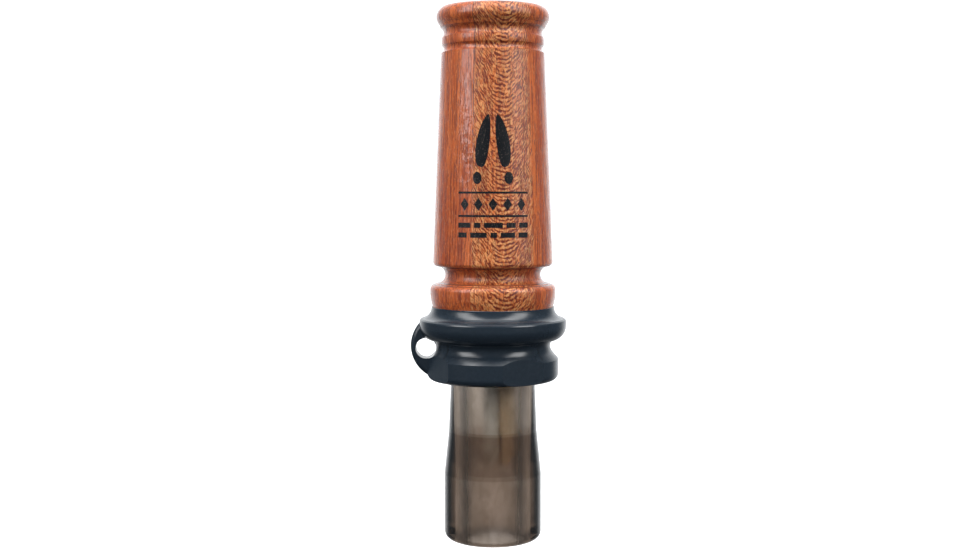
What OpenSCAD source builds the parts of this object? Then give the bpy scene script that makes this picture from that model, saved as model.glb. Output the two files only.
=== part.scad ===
// Grunt tube call: a turned wooden barrel on a black collar with a lanyard lug,
// and a smoke mouthpiece around a reed insert. +Z runs up from the mouth end.

/* [Lengths] */
// Length of the mouthpiece below the collar
mouth_len = 40.9; // [39:0.1:44]
// Height of the collar, from its bottom face to the barrel's seat
collar_h = 18.7; // [18.5:0.1:20]
// Length of the wooden barrel
barrel_len = 75.2; // [70:0.1:90]

/* [Barrel] */
// Radius of the lip that sits on the collar
lip_r = 16.0; // [15.8:0.1:16.4]
// Height of the lip's widest line above the seat
lip_z = 3.9; // [3.5:0.1:4]
// Height of the cove's centre above the seat
cove_z = 8.13; // [8:0.01:9]
// Radius of the cove
cove_r = 2.15; // [1.8:0.05:2.15]
// Radius of the cove's centre circle, which sets how deep it is
cove_at_r = 14.3; // [14.2:0.05:14.6]
// Radius of the tapered body at its foot
foot_r = 15.22; // [15.1:0.02:15.5]
// Radius of the tapered body under the top grooves
neck_r = 13.02; // [12.9:0.02:13.2]
// Radius of the bead around the top
bead_r = 14.2; // [14:0.05:14.4]
// Radius of the exhaust bore
exhaust_r = 8.0; // [7:0.1:8.4]

/* [Collar] */
// Radius of the collar's ring, its widest part
ring_r = 18.72; // [18.5:0.02:19]
// Radius of the groove between the ring and the flange
groove_r = 14.7; // [14.5:0.05:14.9]
// Radius of the flange
flange_r = 16.74; // [16.6:0.02:17]
// Distance from the axis to each of the flange's four flats
flat_r = 15.7; // [15.5:0.05:16]
// Direction of the first flat, from +X
flat_turn = 28.5; // [25:0.5:32]
// Radius of the disc that the lanyard lug is part of
lug_r = 8.7; // [8.4:0.1:8.9]
// Thickness of the lanyard lug
lug_t = 5; // [4:0.1:6]
// Radius of the lanyard hole
lanyard_r = 2.6; // [2.2:0.1:2.7]
// Length of the spigot that the barrel slides onto
spigot_len = 14; // [12:0.1:15]

/* [Mouthpiece] */
// Radius of the mouthpiece where it leaves the collar
mouth_top_r = 10.75; // [10.73:0.01:10.8]
// Radius of the mouthpiece where its taper steepens
mouth_mid_r = 11.29; // [11.1:0.01:11.5]
// Radius of the mouthpiece at its mouth end
mouth_end_r = 12.4; // [12:0.1:12.8]
// Radius of the breath bore at the mouth end
breath_r = 6.3; // [5.8:0.1:6.4]

/* [Reed insert] */
// Height of the tone board's tip
tip_z = 18.5; // [17:0.1:22]
// Radius of the tone board's round back
board_r = 5.4; // [5:0.1:5.6]
// Angle that the tone board's face falls away from the reed
face_fall = 2.2; // [2:0.1:3]
// Direction that the reed faces, from -Y
insert_turn = -62; // [-90:1:90]
// Width of the reed
reed_w = 7.6; // [6.6:0.1:7.7]
// Thickness of the reed
reed_t = 0.3; // [0.25:0.01:0.35]

/* [Hidden] */
$fn = 96;

// Heights of the two joints between the three outer parts
collar_z = mouth_len;
seat_z = collar_z + collar_h;

// Fits: radial clearance of the sliding fits, and the O-rings' cord and seats
fit_gap = 0.08;
o_cord = 1.78;
o_depth = 1.37;
o_width = 2.1;
o_gap = 0.02;

// Barrel details
socket_r = 9.55;
socket_len = spigot_len + 1.2;
lip_side_r = 12.5;
lip_edge_r = 1.5;
foot_edge_r = 1.0;
bead_z = barrel_len - 2.45;
bead_arc_r = 2.73;
bead_top_a = asin(2.45 / bead_arc_r);
groove_1_z = barrel_len - 6.45;
groove_1_arc_r = 1.6;
groove_2_z = barrel_len - 10.42;
groove_2_arc_r = 1.1;
groove_min_r = 12.37;
fillet_r = 12.8;
fillet_z = (groove_1_z + groove_2_z) / 2 - 0.13;
fillet_arc_r = 5.15;
exit_round = 1.5;
edge = 0.4;

// Collar details: heights from its bottom face, or down from its seat
spigot_r = socket_r - fit_gap;
mouth_socket_r = mouth_top_r + 0.05;
web_z = 9.5;
plug_bore_r = 6.5;
plug_len = 12;
air_r = 5.4;
flange_edge_r = 1.7;
flange_h = 5.45;
groove_z = 8.75;
groove_arc_r = 2.5;
ring_under_r = 3.75;
ring_low_z = collar_h - 4.85;
ring_top_z = collar_h - 3.65;
flare_arc_r = 2.97;
flare_at_r = 18.6;
flare_at_z = collar_h - 0.1;
lug_x = -12.2;
lug_z = 8.76;
lug_round = 1.2;
lanyard_x = -16.98;
lanyard_z = 8.17;
o_ring_heights = [4, 10];

// Mouthpiece details: heights from the mouth end
mouth_corner_z = 16.9;
mouth_taper_z = 27.8;
mouth_round = 2.0;
bore_top_r = 6.9;
tenon_r = mouth_socket_r - fit_gap;
mouth_ring_z = collar_z + 5;

// Reed insert details: heights from the mouth end, depths from the axis
plug_r = plug_bore_r - 0.05;
plug_low_z = collar_z + web_z - 3.9;
plug_top_z = collar_z + web_z + plug_len;
clamp_half = 0.3;
hinge_z = plug_low_z + clamp_half;
face_y = -0.5;
reed_gap = 0.03;
root_len = 3.2;
relief = 0.2;
slot_half = 3.9;
slot_y = -3.9;
slot_len = 9.2;
channel_r = 2.4;
channel_y = face_y + 0.9;
channel_low_z = tip_z + 5;
reed_low_z = tip_z + 0.8;
reed_corner_r = 2.4;

// Points along an arc about (r0, z0), from one angle to another
function arc(r0, z0, rad, from, to, n = 10) =
    [for (i = [0:n]) let (a = from + (to - from) * i / n) [r0 + rad * cos(a), z0 + rad * sin(a)]];

// The outline of one O-ring groove in a spigot of radius r, going up
function o_groove(r, z) = [
    [r, z - o_width / 2],
    [r - o_depth, z - o_width / 2],
    [r - o_depth, z + o_width / 2],
    [r, z + o_width / 2]
];

// Half the angle of the arc where a circle of radius rad, centred at r0, crosses radius r
function crossing(r0, rad, r) = acos((r0 - r) / rad);

// An O-ring squeezed between its groove's floor and the bore around it
module o_ring(floor_r, bore_r, z) {
    color("dimgray")
    translate([0, 0, z])
    rotate_extrude()
    intersection() {
        translate([(floor_r + bore_r) / 2, 0])
        circle(d = o_cord);
        translate([floor_r, -o_cord])
        square([bore_r - o_gap - floor_r, 2 * o_cord]);
    }
}

// Turned hardwood barrel: lip, cove, tapered body, two grooves and a bead, bored through
module barrel() {
    groove_1_r = groove_min_r + groove_1_arc_r;
    groove_2_r = groove_min_r + groove_2_arc_r;
    bead_at_r = bead_r - bead_arc_r;
    fillet_a = crossing(groove_1_r, groove_1_arc_r, fillet_r);
    fillet_b = crossing(groove_2_r, groove_2_arc_r, fillet_r);
    body_a = crossing(groove_2_r, groove_2_arc_r, neck_r);
    fillet_half_a = 11;
    color("sienna")
    translate([0, 0, seat_z])
    rotate_extrude()
    polygon(concat(
        [[socket_r + edge, 0]],
        arc(lip_r - lip_side_r, lip_z, lip_side_r, -asin(lip_z / lip_side_r), 0, 8),
        arc(lip_r - lip_edge_r, lip_z + 0.4, lip_edge_r, 0, 90),
        arc(cove_at_r, cove_z, cove_r, 270, 90, 20),
        arc(foot_r - foot_edge_r, cove_z + cove_r + foot_edge_r, foot_edge_r, -85, 0, 8),
        arc(groove_2_r, groove_2_z, groove_2_arc_r, 180 + body_a, 180 - fillet_b),
        arc(fillet_r + 0.1 - fillet_arc_r, fillet_z, fillet_arc_r, -fillet_half_a, fillet_half_a, 6),
        arc(groove_1_r, groove_1_z, groove_1_arc_r, 180 + fillet_a, 120),
        arc(bead_at_r, bead_z, bead_arc_r, -42, bead_top_a, 14),
        arc(exhaust_r + exit_round, barrel_len - exit_round, exit_round, 90, 180, 8),
        [[exhaust_r, socket_len], [socket_r, socket_len], [socket_r, edge]]
    ));
}

module barrel_o_ring_upper() {
    o_ring(spigot_r - o_depth, socket_r, seat_z + o_ring_heights[1]);
}

module barrel_o_ring_lower() {
    o_ring(spigot_r - o_depth, socket_r, seat_z + o_ring_heights[0]);
}

// The collar's turned form: flange, groove, ring and flare outside, with the
// barrel's spigot above, and the sockets of the mouthpiece and the insert inside
module collar_body() {
    spigot_top = collar_h + spigot_len;
    rotate_extrude()
    polygon(concat(
        [[mouth_socket_r + edge, 0]],
        arc(flange_r - flange_edge_r, flange_edge_r, flange_edge_r, -90, 0, 8),
        [[flange_r, flange_h]],
        arc(groove_r + groove_arc_r, groove_z, groove_arc_r, 222, 152),
        arc(ring_r - ring_under_r, ring_low_z, ring_under_r, -90, 0, 12),
        [[ring_r, ring_top_z], [ring_r - 0.12, ring_top_z + 0.3]],
        arc(flare_at_r, flare_at_z, flare_arc_r, 262, 180, 12),
        [[flare_at_r - flare_arc_r - 0.08, collar_h], [spigot_r, collar_h]],
        o_groove(spigot_r, collar_h + o_ring_heights[0]),
        o_groove(spigot_r, collar_h + o_ring_heights[1]),
        [[spigot_r, spigot_top - edge], [spigot_r - edge, spigot_top]],
        [[air_r, spigot_top], [air_r, web_z + plug_len]],
        [[plug_bore_r, web_z + plug_len], [plug_bore_r, web_z]],
        [[mouth_socket_r, web_z], [mouth_socket_r, edge]]
    ));
}

// The lug's disc, turned about the lanyard hole's direction, with rounded rims
module lug_disc() {
    half = lug_t / 2;
    translate([lug_x, 0, lug_z])
    rotate([90, 0, 0])
    rotate_extrude()
    polygon(concat(
        [[0, -half]],
        arc(lug_r - lug_round, -half + lug_round, lug_round, -90, 0, 6),
        arc(lug_r - lug_round, half - lug_round, lug_round, 0, 90, 6),
        [[0, half]]
    ));
}

// Black collar with four wrench flats and the lanyard lug on its -X side
module collar() {
    big = 30;
    flat_top = groove_z - 1;
    color([0.13, 0.15, 0.17])
    translate([0, 0, collar_z])
    difference() {
        union() {
            difference() {
                collar_body();
                for (k = [0:3])
                    rotate([0, 0, flat_turn - 90 + 90 * k])
                    translate([flat_r, -big / 2, -1])
                    cube([big, big, flat_top + 1]);
            }
            difference() {
                lug_disc();
                translate([-big, -big / 2, ring_top_z - 0.6])
                cube([2 * big, big, big]);
                translate([0, 0, -1])
                cylinder(r = groove_r - 1, h = big);
            }
        }
        translate([lanyard_x, 0, lanyard_z])
        rotate([90, 0, 0])
        cylinder(r = lanyard_r, h = big, center = true);
    }
}

// Smoke mouthpiece: a thick tube with a straight breath bore at the mouth end,
// a steeper band outside between its two tapers, and a tenon in the collar
module mouthpiece() {
    top_z = collar_z + web_z;
    color([0.36, 0.31, 0.27, 0.7])
    rotate_extrude()
    polygon(concat(
        [[breath_r, 0]],
        arc(mouth_end_r - mouth_round, mouth_round, mouth_round, -90, 0),
        [[mouth_end_r, mouth_corner_z], [mouth_mid_r, mouth_taper_z]],
        [[mouth_top_r, collar_z - 0.1], [tenon_r, collar_z]],
        o_groove(tenon_r, mouth_ring_z),
        [[tenon_r, top_z - edge], [tenon_r - edge, top_z]],
        [[bore_top_r, top_z], [breath_r, mouth_corner_z]]
    ));
}

module mouthpiece_o_ring() {
    o_ring(tenon_r - o_depth, mouth_socket_r, mouth_ring_z);
}

// Tone board: a round plug, and a half-round board whose flat face falls away
// from the reed, with a channel that carries the sound up through the plug
module tone_board() {
    big = 40;
    bevel = 45;
    color("burlywood")
    rotate([0, 0, insert_turn])
    difference() {
        union() {
            translate([0, 0, plug_low_z])
            cylinder(r = plug_r, h = plug_top_z - plug_low_z);
            translate([0, 0, tip_z])
            cylinder(r = board_r, h = plug_low_z - tip_z);
        }
        // front half of the board, down the falling face
        translate([0, face_y, plug_low_z])
        rotate([face_fall, 0, 0])
        translate([-big / 2, -big, -big])
        cube([big, big, big]);
        // bevel across the back of the tip
        translate([0, face_y, tip_z])
        rotate([bevel, 0, 0])
        translate([-big / 2, -1, -big])
        cube([big, big, big]);
        // slot for the reed's root and its wedge
        translate([-slot_half, slot_y, plug_low_z - 1])
        cube([2 * slot_half, face_y - slot_y, slot_len + 1]);
        // relief behind the reed's root
        translate([-slot_half, face_y - 0.1, hinge_z + clamp_half])
        cube([2 * slot_half, relief + 0.1, root_len]);
        // tone channel
        translate([0, channel_y, channel_low_z])
        cylinder(r = channel_r, h = big);
    }
}

// Cork wedge that nips the reed along the hinge line, relieved above it
module reed_wedge() {
    nip_y = face_y - reed_t - 2 * reed_gap;
    low_z = hinge_z - clamp_half;
    color("peru")
    rotate([0, 0, insert_turn])
    rotate([90, 0, 90])
    linear_extrude(height = 2 * slot_half, center = true)
    polygon([
        [slot_y, low_z],
        [nip_y, low_z],
        [nip_y, hinge_z + clamp_half],
        [nip_y - relief, hinge_z + 2 * clamp_half],
        [nip_y - relief, low_z + slot_len],
        [slot_y, low_z + slot_len]
    ]);
}

// Reed: a thin strip with a rounded tip, nipped at its root
module reed() {
    half = reed_w / 2;
    tip_r = reed_corner_r;
    color("lightgray")
    rotate([0, 0, insert_turn])
    translate([0, face_y - reed_gap, 0])
    rotate([90, 0, 0])
    linear_extrude(height = reed_t)
    polygon(concat(
        [[half, hinge_z + root_len], [-half, hinge_z + root_len]],
        arc(-half + tip_r, reed_low_z + tip_r, tip_r, 180, 270, 8),
        arc(half - tip_r, reed_low_z + tip_r, tip_r, 270, 360, 8)
    ));
}

barrel();
barrel_o_ring_upper();
barrel_o_ring_lower();
collar();
mouthpiece();
mouthpiece_o_ring();
tone_board();
reed_wedge();
reed();
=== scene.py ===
"""Looks of the grunt tube call: materials, the printed mark and the studio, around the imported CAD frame."""

import math

import bmesh
import bpy
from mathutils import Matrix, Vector
from mathutils.bvhtree import BVHTree
from mathutils.geometry import delaunay_2d_cdt


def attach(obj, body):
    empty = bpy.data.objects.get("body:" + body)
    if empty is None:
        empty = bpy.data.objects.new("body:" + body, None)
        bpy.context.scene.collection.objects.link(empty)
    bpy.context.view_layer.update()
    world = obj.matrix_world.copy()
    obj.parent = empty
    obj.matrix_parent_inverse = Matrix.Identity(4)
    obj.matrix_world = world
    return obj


MM = 0.001

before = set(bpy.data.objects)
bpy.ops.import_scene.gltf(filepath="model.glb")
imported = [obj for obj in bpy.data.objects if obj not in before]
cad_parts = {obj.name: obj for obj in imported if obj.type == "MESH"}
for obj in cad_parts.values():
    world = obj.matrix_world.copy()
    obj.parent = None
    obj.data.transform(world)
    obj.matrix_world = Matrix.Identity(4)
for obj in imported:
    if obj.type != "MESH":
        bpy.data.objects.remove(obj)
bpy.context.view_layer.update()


# ---------------------------------------------------------------- node helpers


def srgb(red, green, blue):
    """Linear RGBA of a colour given as 0 to 255."""

    def linear(c):
        c /= 255
        return c / 12.92 if c <= 0.04045 else ((c + 0.055) / 1.055) ** 2.4

    return (linear(red), linear(green), linear(blue), 1.0)


class Graph:
    """One material's node tree, with short calls for the nodes that the materials here use."""

    def __init__(self, name):
        self.material = bpy.data.materials.new(name)
        self.material.use_nodes = True
        self.tree = self.material.node_tree
        self.tree.nodes.clear()
        self.shader = self.add("ShaderNodeBsdfPrincipled")
        self.output = self.add("ShaderNodeOutputMaterial")
        self.tree.links.new(self.shader.outputs["BSDF"], self.output.inputs["Surface"])
        place = self.add("ShaderNodeTexCoord").outputs["Object"]
        self.place = self.vector("SCALE", place, scale=1 / MM)  # in millimetres
        split = self.add("ShaderNodeSeparateXYZ")
        self.put(split.inputs[0], self.place)
        self.x, self.y, self.z = split.outputs

    def add(self, kind, **settings):
        node = self.tree.nodes.new(kind)
        for key, value in settings.items():
            setattr(node, key, value)
        return node

    def put(self, socket, value):
        """Links a socket, or sets a number or colour."""
        if isinstance(value, bpy.types.NodeSocket):
            self.tree.links.new(value, socket)
        else:
            socket.default_value = value

    def set(self, **values):
        """Sets the shader's inputs: base_color=... is its Base Color, and so on."""
        names = {i.name.lower().replace(" ", "_"): i for i in self.shader.inputs}
        for key, value in values.items():
            self.put(names[key], value)

    def math(self, operation, a, b=0.0, c=0.0, clamp=False):
        node = self.add("ShaderNodeMath", operation=operation, use_clamp=clamp)
        for socket, value in zip(node.inputs, (a, b, c)):
            self.put(socket, value)
        return node.outputs[0]

    def vector(self, operation, a, b=(0, 0, 0), scale=1.0):
        node = self.add("ShaderNodeVectorMath", operation=operation)
        self.put(node.inputs[0], a)
        if operation == "SCALE":
            self.put(node.inputs["Scale"], scale)
        else:
            self.put(node.inputs[1], b)
        return node.outputs[0]

    def stretched(self, x, y, z):
        """Object coordinates in millimetres, times a number on each axis."""
        return self.vector("MULTIPLY", self.place, (x, y, z))

    def noise(self, vector, scale=1.0, detail=2.0, roughness=0.5, distortion=0.0):
        node = self.add("ShaderNodeTexNoise")
        self.put(node.inputs["Vector"], vector)
        self.put(node.inputs["Scale"], scale)
        self.put(node.inputs["Detail"], detail)
        self.put(node.inputs["Roughness"], roughness)
        self.put(node.inputs["Distortion"], distortion)
        return node.outputs["Fac"]

    def step(self, value, low, high, to_low=0.0, to_high=1.0):
        """A smooth step of value from low to high."""
        node = self.add("ShaderNodeMapRange", interpolation_type="SMOOTHSTEP")
        for socket, v in zip(node.inputs, (value, low, high, to_low, to_high)):
            self.put(socket, v)
        return node.outputs[0]

    def mix(self, share, a, b, blend="MIX"):
        node = self.add("ShaderNodeMix", data_type="RGBA", blend_type=blend)
        self.put(node.inputs["Factor"], share)
        self.put(node.inputs[6], a)
        self.put(node.inputs[7], b)
        return node.outputs[2]

    def bump(self, height, distance, strength=1.0):
        """A normal bumped by height (0 to 1), distance metres deep."""
        node = self.add("ShaderNodeBump")
        self.put(node.inputs["Height"], height)
        self.put(node.inputs["Distance"], distance)
        self.put(node.inputs["Strength"], strength)
        return node.outputs[0]

    def radius(self):
        """Distance from the call's axis, in millimetres."""
        return self.math("SQRT", self.math("ADD", self.math("POWER", self.x, 2.0),
                                           self.math("POWER", self.y, 2.0)))

    def azimuth(self):
        """Angle round the axis in degrees, 0 at the front (-Y) and positive towards +X."""
        return self.math("DEGREES", self.math("ARCTAN2", self.x, self.math("MULTIPLY", self.y, -1.0)))


# ---------------------------------------------------------------- materials

FIGURE_TURN = 11.0  # azimuth of the middle of the wood's figure, degrees
ARC_PITCH = 1.05  # height between the figure's arcs, mm
ARC_RISE = 0.17  # rise of an arc, mm, at 1 mm from its middle
MEAN_RADIUS = 14.0  # of the barrel, mm
FIGURE_LEFT = -31.5  # azimuth of the figure's sharp left edge from its middle, degrees
RING_PITCH = 1.3  # width of a growth ring, mm
PITH = (3.0, -46.0)  # centre of the growth rings, mm
SEAM_TURN = 49.5  # azimuth of the collar's mould lines, degrees to each side
SMOKE_DENSITY = 130.0  # per metre; the colour is the share that this density lets past
SMOKE_COLOUR = (0.52, 0.42, 0.33, 1.0)
BAND_FOOT, BAND_TOP = 16.7, 28.0  # heights of the mouthpiece's steeper band, mm


def hardwood():
    """Lacquered reddish hardwood. Flat-sawn faces at the front and back show nested arcs and slanting golden
    flecks, the sides between them show straight grain with pores, and the ends show growth rings."""
    g = Graph("hardwood")
    turn = g.azimuth()
    aside = g.math("WRAP", g.math("SUBTRACT", turn, FIGURE_TURN), 90.0, -90.0)
    wander = g.noise(g.stretched(0.35, 0.35, 0.12), detail=2.0)
    across = g.math("MULTIPLY", aside, math.pi / 180 * MEAN_RADIUS)  # along the surface, mm
    across = g.math("ADD", across, g.math("MULTIPLY_ADD", wander, 2.4, -1.2))

    # nested arcs: each one rises with the square of its distance from the middle
    rise = g.math("MULTIPLY", g.math("MULTIPLY", across, across), ARC_RISE)
    level = g.math("DIVIDE", g.math("SUBTRACT", g.z, rise), ARC_PITCH)
    waver = g.noise(g.stretched(0.4, 0.4, 0.25), detail=2.0)
    level = g.math("ADD", level, g.math("MULTIPLY", waver, 1.6))
    bent = g.add("ShaderNodeCombineXYZ")
    bent_place = (g.math("MULTIPLY", across, 0.8), level, g.math("MULTIPLY", g.y, 0.3))
    for socket, value in zip(bent.inputs, bent_place):
        g.put(socket, value)
    streaks = g.noise(bent.outputs[0], scale=1.6, detail=4.0, roughness=0.64)
    arcs = g.math("SINE", g.math("MULTIPLY", level, 2 * math.pi))
    middle = g.step(g.math("ABSOLUTE", across), 1.0, 3.4, 1.0, 0.0)
    streaks = g.math("ADD", streaks, g.math("MULTIPLY", arcs, g.math("MULTIPLY_ADD", middle, 0.07, 0.03)))

    columns = g.noise(g.stretched(0.75, 0.75, 0.02), detail=2.0)
    fringe = g.math("MULTIPLY", g.noise(g.stretched(1.3, 1.3, 0.25), detail=3.0), 14.0)
    left = g.step(aside, FIGURE_LEFT - 0.5, FIGURE_LEFT + 1.0)
    right = g.step(g.math("ADD", aside, fringe), 34.0, 41.0, 1.0, 0.0)
    figured = g.math("MULTIPLY", left, right)
    gold = g.math("MULTIPLY", g.step(streaks, 0.475, 0.555), figured)
    gold = g.math("MULTIPLY", gold, g.step(columns, 0.35, 0.62, 0.55, 1.0))
    patches = g.noise(g.stretched(1.5, 1.5, 1.1), detail=3.0, roughness=0.6)
    gold = g.math("MULTIPLY", gold, g.step(patches, 0.38, 0.58, 0.25, 1.0))
    dark = g.math("MULTIPLY", g.step(streaks, 0.475, 0.4), figured)

    # straight grain, which also shows faintly between the flecks
    ribbon = g.noise(g.stretched(0.45, 0.45, 0.012), detail=2.0)
    lines = g.noise(g.stretched(2.3, 2.3, 0.05), detail=3.0, roughness=0.6)
    pores = g.step(g.noise(g.stretched(5.0, 5.0, 0.5), detail=2.0, roughness=0.6), 0.57, 0.68)
    flecks = g.step(g.noise(g.stretched(4.0, 4.0, 0.8), detail=2.0), 0.56, 0.7)

    base = g.mix(g.step(ribbon, 0.35, 0.65), srgb(196, 86, 34), srgb(226, 114, 52))
    base = g.mix(g.math("MULTIPLY", g.step(lines, 0.46, 0.6), 0.7), base, srgb(122, 44, 20))
    base = g.mix(g.math("MULTIPLY", flecks, 0.5), base, srgb(250, 154, 96))
    base = g.mix(g.math("MULTIPLY", dark, 0.9), base, srgb(100, 34, 16))
    base = g.mix(g.math("MULTIPLY", gold, 0.82), base, srgb(255, 184, 114))
    base = g.mix(g.math("MULTIPLY", pores, 0.75), base, srgb(92, 34, 20))

    # one dark mineral line beside the figure
    line = g.math("ABSOLUTE", g.math("SUBTRACT", turn, FIGURE_TURN + FIGURE_LEFT))
    line = g.math("MULTIPLY", g.step(line, 0.3, 0.8, 1.0, 0.0), g.step(g.z, 98.0, 112.0))
    base = g.mix(g.math("MULTIPLY", line, 0.75), base, srgb(66, 30, 24))

    # growth rings on the ends
    ring = g.math("SQRT", g.math("ADD", g.math("POWER", g.math("SUBTRACT", g.x, PITH[0]), 2.0),
                                 g.math("POWER", g.math("SUBTRACT", g.y, PITH[1]), 2.0)))
    ring = g.math("ADD", ring, g.math("MULTIPLY", wander, 1.2))
    ring = g.math("SINE", g.math("MULTIPLY", ring, 2 * math.pi / RING_PITCH))
    ring = g.math("MULTIPLY_ADD", ring, 0.5, 0.5)
    vessels = g.step(g.noise(g.place, scale=4.5, detail=2.0), 0.6, 0.66)
    end = g.mix(ring, srgb(148, 76, 44), srgb(112, 52, 32))
    end = g.mix(g.math("MULTIPLY", vessels, 0.7), end, srgb(70, 32, 22))
    facing = g.add("ShaderNodeSeparateXYZ")
    g.put(facing.inputs[0], g.add("ShaderNodeTexCoord").outputs["Normal"])
    endwise = g.step(g.math("ABSOLUTE", facing.outputs[2]), 0.8, 0.96)
    base = g.mix(endwise, base, end)

    peel = g.noise(g.stretched(0.5, 0.5, 0.35), detail=2.0)
    relief = g.math("SUBTRACT", g.math("MULTIPLY", lines, 0.5), g.math("MULTIPLY", pores, 0.6))
    relief = g.math("ADD", relief, g.math("MULTIPLY", streaks, figured))
    g.set(base_color=base, roughness=g.step(ribbon, 0.3, 0.7, 0.4, 0.52), specular_ior_level=0.3,
          coat_weight=1.0, coat_roughness=0.1, coat_ior=1.5)
    g.set(normal=g.bump(relief, 0.04 * MM, 0.7),
          coat_normal=g.bump(g.math("ADD", peel, relief), 0.14 * MM, 1.0))
    return g.material


def black_plastic():
    """Satin moulded black plastic with its two mould lines in the groove."""
    g = Graph("black_plastic")
    mottle = g.noise(g.stretched(1.2, 1.2, 1.2), detail=3.0)
    grain = g.noise(g.place, scale=7.0, detail=3.0, roughness=0.6)
    base = g.mix(mottle, srgb(32, 41, 50), srgb(40, 50, 60))
    seam = g.math("ABSOLUTE", g.math("SUBTRACT", g.math("ABSOLUTE", g.azimuth()), SEAM_TURN))
    seam = g.step(seam, 0.5, 1.1, 1.0, 0.0)
    in_groove = g.math("MULTIPLY", g.step(g.z, 46.6, 47.2), g.step(g.z, 50.6, 51.2, 1.0, 0.0))
    seam = g.math("MULTIPLY", seam, in_groove)
    base = g.mix(g.math("MULTIPLY", seam, 0.8), base, srgb(6, 7, 9))
    g.set(base_color=base, roughness=g.step(mottle, 0.3, 0.7, 0.2, 0.27), specular_ior_level=0.7)
    height = g.math("SUBTRACT", grain, g.math("MULTIPLY", seam, 6.0))
    g.set(normal=g.bump(height, 0.004 * MM, 0.4))
    return g.material


def smoke_plastic():
    """Clear smoke plastic: polished outside, with a slightly matt drawn bore. What it takes from the light
    grows with its thickness. Its colour is also darkened as painted shade below the steeper band's top, more
    on the band, and at the mouth end."""
    g = Graph("smoke_plastic")
    drawn = g.noise(g.stretched(1.4, 1.4, 0.06), detail=3.0)
    cloud = g.noise(g.stretched(0.28, 0.28, 0.14), detail=3.0, distortion=0.6)
    clear = g.mix(g.step(cloud, 0.35, 0.65), srgb(214, 208, 200), srgb(246, 242, 238))
    # painted shade: masks for darkening the colour below the steeper band's top, on the band and at the mouth
    # end
    lower = g.step(g.z, BAND_TOP - 0.4, BAND_TOP, 1.0, 0.0)
    band_shade = g.math("MULTIPLY", g.step(g.z, BAND_FOOT, BAND_FOOT + 0.4), lower)
    mouth_end_shade = g.step(g.z, 3.0, 5.5, 1.0, 0.0)
    # painted shade: the colour made darker below the band's top, more on the band, and at the mouth end
    clear = g.mix(lower, clear, srgb(232, 226, 222), "MULTIPLY")
    clear = g.mix(band_shade, clear, srgb(216, 206, 198), "MULTIPLY")
    clear = g.mix(mouth_end_shade, clear, srgb(212, 210, 208), "MULTIPLY")
    bore = g.step(g.radius(), 7.2, 8.2, 1.0, 0.0)  # 1 on the bore's wall, 0 on the outside
    rough = g.math("MULTIPLY_ADD", g.math("MULTIPLY", bore, g.step(drawn, 0.3, 0.7, 0.6, 1.0)), 0.4, 0.12)
    g.set(base_color=clear, roughness=rough, transmission_weight=1.0, ior=1.5)
    g.set(normal=g.bump(g.math("MULTIPLY", drawn, bore), 0.08 * MM, 0.6))
    smoke = g.add("ShaderNodeVolumeAbsorption")
    smoke.inputs["Color"].default_value = SMOKE_COLOUR
    smoke.inputs["Density"].default_value = SMOKE_DENSITY
    g.put(g.output.inputs["Volume"], smoke.outputs[0])
    return g.material


def rubber():
    """Matt black rubber of the O-rings, with a little dust."""
    g = Graph("o_ring_rubber")
    dust = g.noise(g.place, scale=3.0, detail=4.0)
    g.set(base_color=g.mix(dust, srgb(22, 22, 23), srgb(44, 44, 45)),
          roughness=g.step(dust, 0.3, 0.7, 0.5, 0.7))
    g.set(normal=g.bump(dust, 0.01 * MM, 0.6))
    return g.material


def tone_plastic():
    """Moulded, slightly translucent tan plastic of the tone board."""
    g = Graph("tone_plastic")
    flow = g.noise(g.stretched(0.5, 0.5, 0.15), detail=3.0)
    g.set(base_color=g.mix(flow, srgb(250, 222, 182), srgb(255, 238, 206)),
          roughness=g.step(flow, 0.3, 0.7, 0.4, 0.55), transmission_weight=0.45)
    g.set(normal=g.bump(g.noise(g.place, scale=4.0, detail=2.0), 0.006 * MM, 0.5))
    return g.material


def cork():
    """Granular cork of the reed's wedge."""
    g = Graph("cork")
    cells = g.add("ShaderNodeTexVoronoi")
    g.put(cells.inputs["Vector"], g.place)
    g.put(cells.inputs["Scale"], 1.3)
    grain = g.noise(g.place, scale=2.4, detail=4.0, roughness=0.7)
    tint = g.mix(g.step(cells.outputs["Distance"], 0.1, 0.6), srgb(196, 148, 98), srgb(162, 112, 68))
    tint = g.mix(g.step(grain, 0.6, 0.72), tint, srgb(84, 50, 28))
    g.set(base_color=tint, roughness=0.85)
    g.set(normal=g.bump(grain, 0.08 * MM, 0.8))
    return g.material


def reed_film():
    """Milky translucent film of the reed."""
    g = Graph("reed_film")
    rolled = g.noise(g.stretched(2.5, 2.5, 0.1), detail=2.0)
    g.set(base_color=g.mix(rolled, srgb(214, 212, 204), srgb(236, 234, 226)),
          roughness=g.step(rolled, 0.3, 0.7, 0.22, 0.34),
          subsurface_weight=0.3, subsurface_radius=(1.0, 1.0, 1.0), subsurface_scale=0.3 * MM)
    g.set(normal=g.bump(rolled, 0.004 * MM, 0.5))
    return g.material


def ink():
    """Black pad-printed ink, broken by specks where the wood's pores show."""
    g = Graph("ink")
    specks = g.noise(g.stretched(3.2, 3.2, 2.4), detail=2.0, roughness=0.6)
    pores = g.noise(g.stretched(5.5, 5.5, 0.5), detail=2.0)
    worn = g.math("MAXIMUM", g.step(specks, 0.62, 0.69), g.math("MULTIPLY", g.step(pores, 0.62, 0.7), 0.6))
    g.set(base_color=g.mix(worn, srgb(9, 12, 17), srgb(96, 84, 76)),
          roughness=g.step(specks, 0.3, 0.7, 0.4, 0.55), specular_ior_level=0.3)
    g.set(normal=g.bump(specks, 0.01 * MM, 0.6))
    return g.material


NODE_MATERIALS = {
    "barrel": hardwood(),
    "collar": black_plastic(),
    "mouthpiece": smoke_plastic(),
    "tone_board": tone_plastic(),
    "reed_wedge": cork(),
    "reed": reed_film(),
}
O_RING = rubber()
for name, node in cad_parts.items():
    node.data.materials.clear()
    node.data.materials.append(NODE_MATERIALS.get(name, O_RING))
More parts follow.
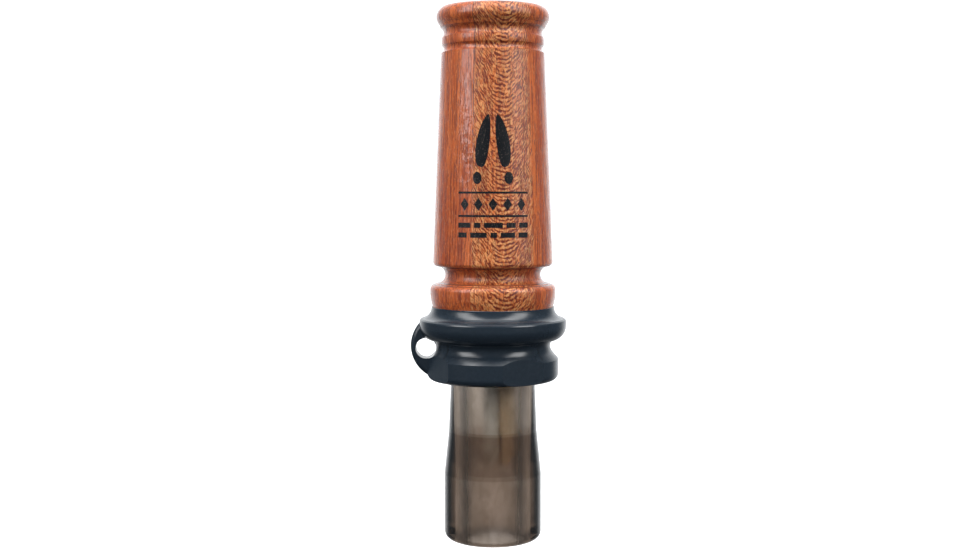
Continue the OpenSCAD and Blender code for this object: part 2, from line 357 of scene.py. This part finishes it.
# the lamps reach the insert undimmed, as if the clear plastic cast no shadow
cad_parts["mouthpiece"].visible_shadow = False


# ---------------------------------------------------------------- printed mark

PRINT_PROUD = 0.03 * MM
PRINT_DEPTH = 0.05 * MM
PRINT_PITCH = 0.6  # spacing of the print's inner points, mm, so that it follows the barrel
PRINT_HALF = 9.0  # half of the print's width, mm
RULE = 0.5  # height of the border's rules, mm
RULE_SPREAD = 2.6  # from the border's middle to its rules, mm
DASH_HEIGHT = 1.24
DASH_GAP = 0.9


def toe(centre, width, height, lean):
    """Half of a cloven hoof's track: a pointed oval whose inner side is straighter. Points are in mm."""
    steps = 28
    side = 1 if centre[0] > 0 else -1

    def across(t):
        return width * 1.55 * t**0.42 * (1 - t) ** 0.62

    points = []
    for i in range(steps + 1):
        t = i / steps
        points.append((side * 0.66 * across(t), t))
    for i in range(steps - 1, 0, -1):
        t = i / steps
        points.append((-side * 0.34 * across(t), t))
    return [(centre[0] + u - side * lean * t, centre[1] + (t - 0.5) * height) for u, t in points]


def oval(centre, width, height, steps=20):
    """An ellipse, width across and height up."""
    return [(centre[0] + width / 2 * math.cos(2 * math.pi * i / steps),
             centre[1] + height / 2 * math.sin(2 * math.pi * i / steps)) for i in range(steps)]


def bar(left, right, low, high):
    return [(left, low), (right, low), (right, high), (left, high)]


def diamond(centre, width, height):
    u, v = centre
    return [(u - width / 2, v), (u, v - height / 2), (u + width / 2, v), (u, v + height / 2)]


def inside(point, outline):
    """Even-odd test of a point in an outline."""
    u, v = point
    odd = False
    for (u1, v1), (u2, v2) in zip(outline, outline[1:] + outline[:1]):
        if (v1 > v) != (v2 > v) and u < u1 + (v - v1) * (u2 - u1) / (v2 - v1):
            odd = not odd
    return odd


def split_edges(outline, longest):
    """The outline with points added so that no edge is longer than that."""
    out = []
    for (u1, v1), (u2, v2) in zip(outline, outline[1:] + outline[:1]):
        parts = max(1, math.ceil(math.dist((u1, v1), (u2, v2)) / longest))
        out += [(u1 + (u2 - u1) * k / parts, v1 + (v2 - v1) * k / parts) for k in range(parts)]
    return out


def surface_of(node):
    """A node's surface, for casting rays at."""
    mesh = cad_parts[node].data
    return BVHTree.FromPolygons([v.co for v in mesh.vertices], [p.vertices for p in mesh.polygons])


def print_piece(name, outlines, middle, wood):
    """A thin solid of ink on the barrel's front. Outlines are (across, up) in mm about the height middle.
    wood is the barrel's surface, which the ink is laid on."""
    far = 30.0 * MM  # well outside the barrel
    bm = bmesh.new()
    for outline in outlines:
        outline = split_edges(outline, PRINT_PITCH)
        us, vs = zip(*outline)
        grid = []
        for i in range(1, int((max(us) - min(us)) / PRINT_PITCH) + 1):
            for j in range(1, int((max(vs) - min(vs)) / PRINT_PITCH) + 1):
                point = (min(us) + i * PRINT_PITCH, min(vs) + j * PRINT_PITCH)
                near = min(math.dist(point, q) for q in outline)
                if near > 0.3 * PRINT_PITCH and inside(point, outline):
                    grid.append(point)
        points = [Vector(p) for p in outline + grid]
        edges = [(i, (i + 1) % len(outline)) for i in range(len(outline))]
        found, _, triangles, *_ = delaunay_2d_cdt(points, edges, [], 1, 1e-7)
        placed = []
        for u, v in found:
            z = (middle + v) * MM
            flat = wood.ray_cast(Vector((0, -far, z)), Vector((0, 1, 0)))[0]
            angle = u * MM / -flat.y
            out = Vector((math.sin(angle), -math.cos(angle), 0))
            hit = wood.ray_cast(Vector((0, 0, z)) + out * far, -out)[0]
            placed.append(bm.verts.new(hit - out * PRINT_DEPTH))
        for t in triangles:
            bm.faces.new([placed[k] for k in t])
    lifted = bmesh.ops.extrude_face_region(bm, geom=bm.faces[:])["geom"]
    for vert in (e for e in lifted if isinstance(e, bmesh.types.BMVert)):
        out = Vector((vert.co.x, vert.co.y, 0)).normalized()
        vert.co += out * (PRINT_DEPTH + PRINT_PROUD)
    bmesh.ops.recalc_face_normals(bm, faces=bm.faces[:])
    mesh = bpy.data.meshes.new(name)
    bm.to_mesh(mesh)
    bm.free()
    piece = bpy.data.objects.new(name, mesh)
    bpy.context.scene.collection.objects.link(piece)
    mesh.materials.append(INK)
    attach(piece, "barrel")


INK = ink()
wood = surface_of("barrel")
print_piece("print_track", [
    toe((2.75, 0.0), 4.3, 13.0, 1.7),
    toe((-2.75, 0.0), 4.3, 13.0, 1.7),
    oval((3.9, -9.0), 2.2, 3.0),
    oval((-3.9, -9.0), 2.2, 3.0),
], 101.0, wood)
rules = [bar(-PRINT_HALF, PRINT_HALF, RULE_SPREAD, RULE_SPREAD + RULE),
         bar(-PRINT_HALF, PRINT_HALF, -RULE_SPREAD - RULE, -RULE_SPREAD)]
studs = [diamond((u, 0.0), 2.2, 3.2) for u in (-7.2, -3.6, 0.0, 3.6, 7.2)]
print_piece("print_border", rules + studs, 85.6, wood)
dash_rows = ((0.9, (3.4, 1.6, 4.6, 2.4, 2.4)), (-1.5, (2.4, 4.2, 1.6, 3.6, 2.6)))  # height and lengths, mm
dashes = []
for height, lengths in dash_rows:
    start = -PRINT_HALF
    for length in lengths:
        dashes.append(bar(start, start + length, height - DASH_HEIGHT / 2, height + DASH_HEIGHT / 2))
        start += length + DASH_GAP
print_piece("print_dashes", dashes, 79.6, wood)


# ---------------------------------------------------------------- studio

EYE = Vector((-0.97, -332.7, 88.1)) * MM
PITCH_DOWN = math.radians(3.54)
LENS = 48.2
BACK_LIGHT = 1.25  # the world's brightness straight behind the call, beside it and on the camera's side
SIDE_LIGHT = 0.17
FRONT_LIGHT = 0.2
WHITE = (1.0, 1.0, 1.0, 1.0)
BLUISH = (0.72, 0.9, 1.08, 1.0)
LAMP_AIM = 0.09  # height that the lamps point at, and their distance from there, m
LAMP_DISTANCE = 0.9


def camera():
    """The front view: a little below the middle of the barrel, looking slightly down."""
    data = bpy.data.cameras.new("camera")
    data.lens = LENS
    data.sensor_width = 36.0
    data.clip_start = 0.01
    eye = bpy.data.objects.new("camera", data)
    eye.location = EYE
    eye.rotation_euler = (math.pi / 2 - PITCH_DOWN, 0, 0)
    bpy.context.scene.collection.objects.link(eye)
    bpy.context.scene.camera = eye


def softbox(name, azimuth, elevation, size, power):
    """A rectangular area light aimed at the call: azimuth from the front (-Y), positive towards +X."""
    data = bpy.data.lights.new(name, "AREA")
    data.shape = "RECTANGLE"
    data.size, data.size_y = size
    data.energy = power
    light = bpy.data.objects.new(name, data)
    a, e = math.radians(azimuth), math.radians(elevation)
    out = Vector((math.sin(a) * math.cos(e), -math.cos(a) * math.cos(e), math.sin(e)))
    light.location = Vector((0, 0, LAMP_AIM)) + out * LAMP_DISTANCE
    light.rotation_euler = out.to_track_quat("Z", "Y").to_euler()
    bpy.context.scene.collection.objects.link(light)


def surroundings():
    """What lights and shows in the call from afar: a bright strip straight behind it, dim bluish sides and
    front, and less from below."""
    world = bpy.data.worlds.new("studio")
    world.use_nodes = True
    tree = world.node_tree
    tree.nodes.clear()

    def math_node(operation, a, b=0.0):
        node = tree.nodes.new("ShaderNodeMath")
        node.operation = operation
        for socket, value in zip(node.inputs, (a, b)):
            if isinstance(value, bpy.types.NodeSocket):
                tree.links.new(value, socket)
            else:
                socket.default_value = value
        return node.outputs[0]

    def step(value, low, high, to_low, to_high):
        node = tree.nodes.new("ShaderNodeMapRange")
        node.interpolation_type = "SMOOTHSTEP"
        tree.links.new(value, node.inputs["Value"])
        for socket, v in zip(node.inputs[1:], (low, high, to_low, to_high)):
            socket.default_value = v
        return node.outputs[0]

    place = tree.nodes.new("ShaderNodeTexCoord")
    split = tree.nodes.new("ShaderNodeSeparateXYZ")
    tree.links.new(place.outputs["Generated"], split.inputs[0])
    x, y, z = split.outputs
    level = math_node("SQRT", math_node("ADD", math_node("MULTIPLY", x, x), math_node("MULTIPLY", y, y)))
    # cosine of the turn from straight behind
    back = math_node("DIVIDE", y, math_node("MAXIMUM", level, 0.001))
    strip = step(back, 0.58, 0.97, 0.0, BACK_LIGHT)
    strip = math_node("MULTIPLY", strip, step(z, -0.45, -0.15, 0.25, 1.0))
    sides = step(back, -0.9, -0.2, FRONT_LIGHT, SIDE_LIGHT)
    sides = math_node("MULTIPLY", sides, step(z, -0.45, -0.05, 0.4, 1.0))
    output = tree.nodes.new("ShaderNodeOutputWorld")
    both = tree.nodes.new("ShaderNodeAddShader")
    parts = ((strip, WHITE), (sides, BLUISH))
    for socket, (strength, colour) in zip(both.inputs, parts):
        light = tree.nodes.new("ShaderNodeBackground")
        tree.links.new(strength, light.inputs["Strength"])
        light.inputs["Color"].default_value = colour
        tree.links.new(light.outputs[0], socket)
    tree.links.new(both.outputs[0], output.inputs["Surface"])
    bpy.context.scene.world = world


def staged(name, mesh, glow):
    """A piece of the studio that only the camera sees, so that it throws no light back on the call."""
    thing = bpy.data.objects.new(name, mesh)
    bpy.context.scene.collection.objects.link(thing)
    g = Graph(name + "_paper")
    tooth = g.noise(g.place, scale=0.6, detail=3.0)
    g.set(base_color=g.mix(tooth, srgb(240, 240, 240), srgb(248, 248, 248)), roughness=0.9,
          emission_color=WHITE, emission_strength=glow)
    mesh.materials.append(g.material)
    thing.visible_diffuse = False
    thing.visible_glossy = False
    thing.visible_transmission = False
    thing.visible_shadow = False


def floor():
    """The plane that the call stands on."""
    half = 8.0
    mesh = bpy.data.meshes.new("floor")
    corners = [(-half, -half, 0), (half, -half, 0), (half, half, 0), (-half, half, 0)]
    mesh.from_pydata(corners, [], [(0, 1, 2, 3)])
    staged("floor", mesh, 0.85)


def backdrop():
    """A white wall all round, so that the floor has no dark horizon from any side."""
    around, far, top = 64, 4.5, 6.0
    turns = [2 * math.pi * i / around for i in range(around)]
    ring = [(far * math.cos(t), far * math.sin(t)) for t in turns]
    points = [(x, y, -0.1) for x, y in ring] + [(x, y, top) for x, y in ring]
    faces = [((i + 1) % around, i, around + i, around + (i + 1) % around) for i in range(around)]
    mesh = bpy.data.meshes.new("backdrop")
    mesh.from_pydata(points, [], faces)
    staged("backdrop", mesh, 1.0)


camera()
surroundings()
floor()
backdrop()
softbox("softbox_left", -56, 37, (0.45, 1.04), 7.0)
softbox("softbox_right", 54, 37, (0.45, 1.04), 7.0)
softbox("softbox_top", 0, 80, (0.9, 0.6), 2.5)

view = bpy.context.scene.view_settings
view.view_transform = "Standard"
